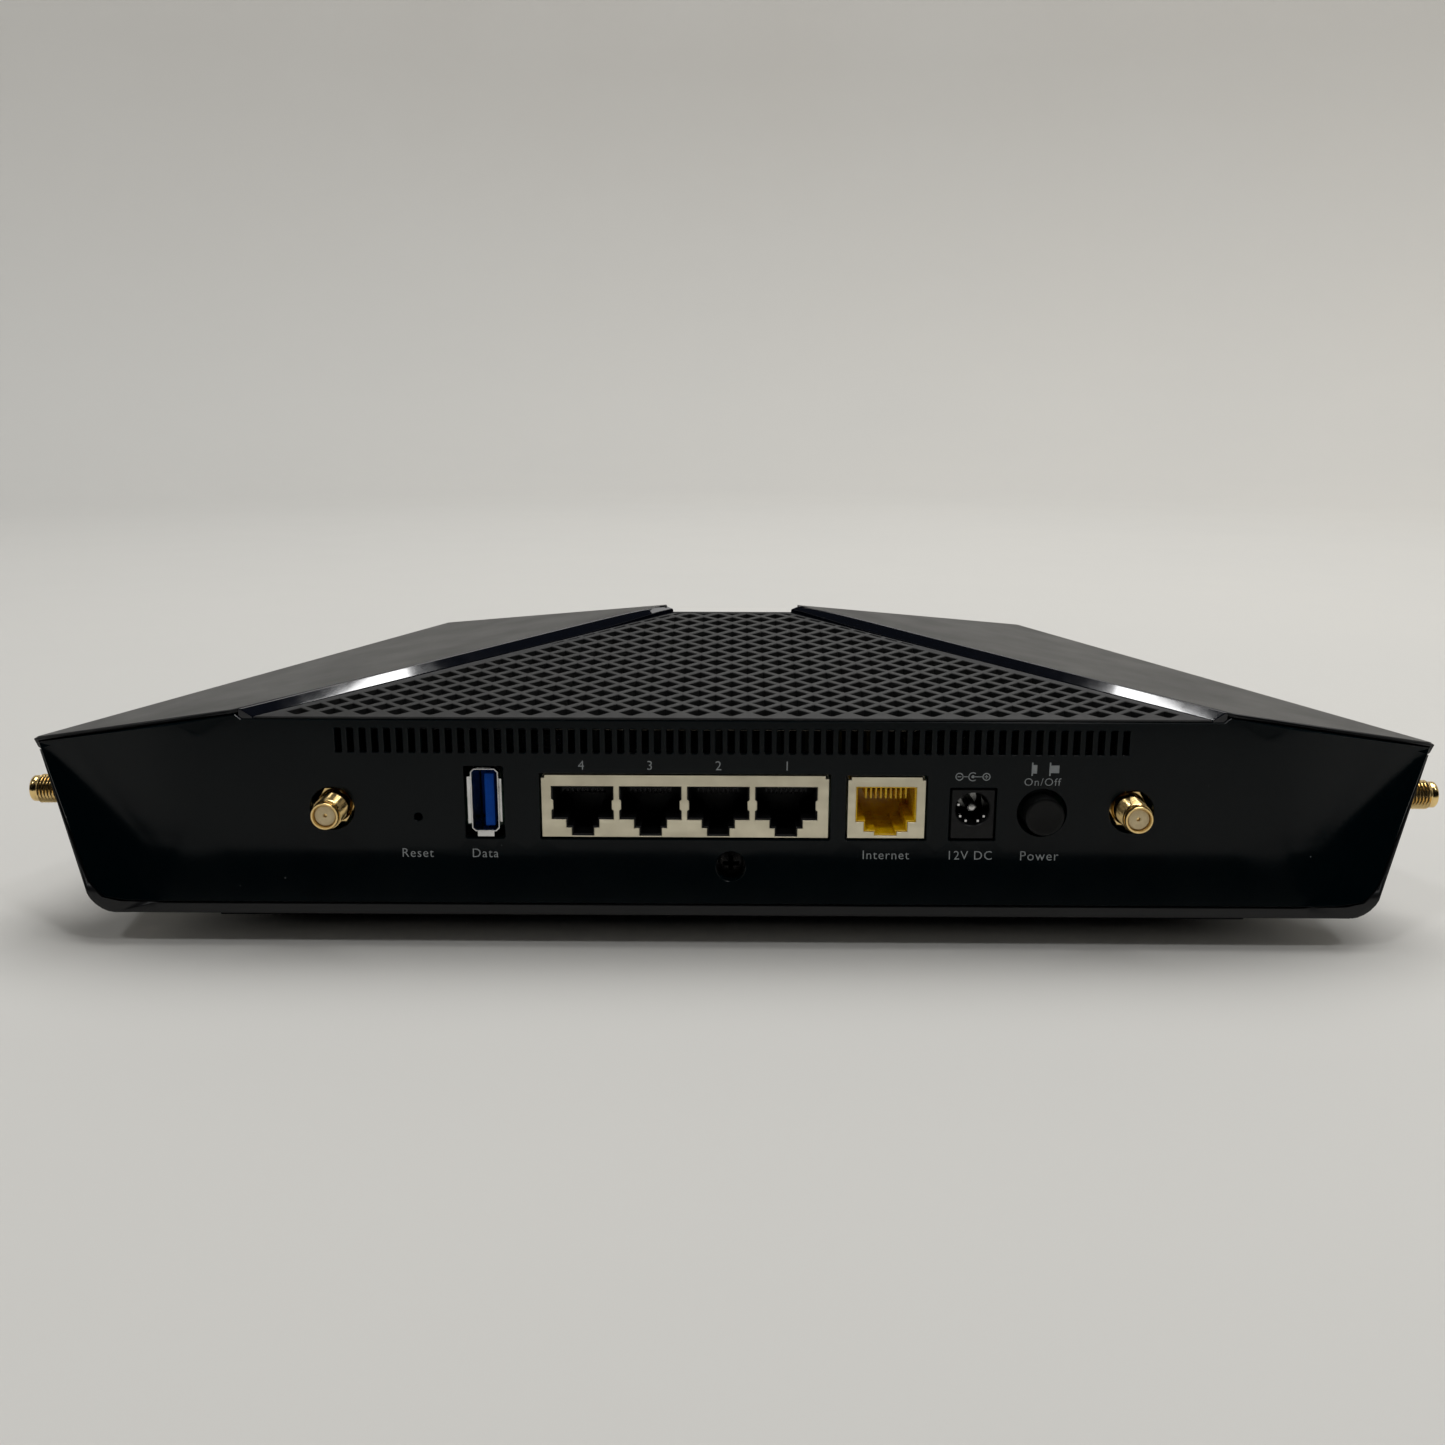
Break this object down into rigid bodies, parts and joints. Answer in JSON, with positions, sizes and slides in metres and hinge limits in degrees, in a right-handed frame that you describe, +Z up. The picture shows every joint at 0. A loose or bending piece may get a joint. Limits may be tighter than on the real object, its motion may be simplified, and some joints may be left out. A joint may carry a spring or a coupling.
{
  "type": "wireless router",
  "caption": "Low faceted wireless router with a diamond vent grille between two sloping wings, network ports, power inlet and threaded antenna jacks on its rear face.",
  "frame": {"origin": "centre of the bounding box in plan, at the underside of the feet", "axes": "+X to the right when the port side is seen from outside, -Y out of the port side, +Z up"},
  "size_m": [0.302, 0.2056, 0.0637],
  "materials": {
    "case_plastic": "fine satin texture",
    "panel_plastic": "smooth semi-gloss",
    "grille_plastic": "matt",
    "gloss_trim": "high gloss",
    "smoked_window": "high gloss",
    "light_guide_plastic": "frosted clear",
    "button_plastic": "satin",
    "black_insert": "moulded",
    "circuit_board": "solder mask",
    "ribbon": "smooth",
    "jack_steel": "nickel plated, satin",
    "yellow_insert": "moulded",
    "blue_insert": "moulded",
    "tin_plate": "tinned",
    "gold_plate": "gold plated, polished",
    "dielectric": "cream",
    "cable_jacket": "extruded",
    "chip_package": "moulded",
    "aluminium": "extruded",
    "foot_rubber": "matt",
    "black_screw": "black oxide"
  },
  "bodies": {
    "case": {"bottom_case": "case_plastic", "rear_panel": "panel_plastic", "top_cover": "case_plastic", "vent_grille": "grille_plastic", "trim_strip_left": "gloss_trim", "trim_strip_right": "gloss_trim", "front_window": "smoked_window", "light_guide": "light_guide_plastic", "pairing_switch_body": "black_insert", "wireless_switch_body": "black_insert", "indicator_board": "circuit_board", "flat_cable": "ribbon", "lan_jack_shield": "jack_steel", "lan_jack_insert_4": "black_insert", "lan_jack_insert_3": "black_insert", "lan_jack_insert_2": "black_insert", "lan_jack_insert_1": "black_insert", "wan_jack_shield": "jack_steel", "wan_jack_insert": "yellow_insert", "data_port_shell": "jack_steel", "data_port_tongue": "blue_insert", "dc_jack_body": "black_insert", "dc_jack_pin": "tin_plate", "power_switch_body": "black_insert", "reset_switch_body": "tin_plate", "antenna_jack_rear_left": "gold_plate", "antenna_insulator_rear_left": "dielectric", "antenna_nut_rear_left": "gold_plate", "antenna_lead_rear_left": "cable_jacket", "antenna_jack_rear_right": "gold_plate", "antenna_insulator_rear_right": "dielectric", "antenna_nut_rear_right": "gold_plate", "antenna_lead_rear_right": "cable_jacket", "antenna_jack_side_left": "gold_plate", "antenna_insulator_side_left": "dielectric", "antenna_nut_side_left": "gold_plate", "antenna_lead_side_left": "cable_jacket", "antenna_jack_side_right": "gold_plate", "antenna_insulator_side_right": "dielectric", "antenna_nut_side_right": "gold_plate", "antenna_lead_side_right": "cable_jacket", "main_board": "circuit_board", "processor_chip": "chip_package", "heat_sink": "aluminium", "radio_shield_left": "tin_plate", "radio_shield_right": "tin_plate", "foot_1": "foot_rubber", "foot_2": "foot_rubber", "foot_3": "foot_rubber", "foot_4": "foot_rubber", "case_screw_1": "black_screw", "case_screw_2": "black_screw", "case_screw_3": "black_screw", "case_screw_4": "black_screw", "rear_screw": "black_screw"},
    "power_button": {"power_button": "button_plastic"},
    "reset_button": {"reset_button": "button_plastic"},
    "pairing_button": {"pairing_button": "button_plastic"},
    "wireless_button": {"wireless_button": "button_plastic"}
  },
  "joints": [
    {"name": "power_button_press", "type": "slide", "parent": "case", "child": "power_button", "axis": [0, 1, 0], "range_m": [0, 0.0025], "stiffness_N_per_m": 500, "springref_m": -0.001},
    {"name": "reset_button_press", "type": "slide", "parent": "case", "child": "reset_button", "axis": [0, 1, 0], "range_m": [0, 0.0004], "stiffness_N_per_m": 800, "springref_m": -0.0005},
    {"name": "pairing_button_press", "type": "slide", "parent": "case", "child": "pairing_button", "axis": [0, -0.2852, -0.9585], "range_m": [0, 0.0006], "stiffness_N_per_m": 800, "springref_m": -0.0005},
    {"name": "wireless_button_press", "type": "slide", "parent": "case", "child": "wireless_button", "axis": [0, -0.2852, -0.9585], "range_m": [0, 0.0006], "stiffness_N_per_m": 800, "springref_m": -0.0005}
  ]
}
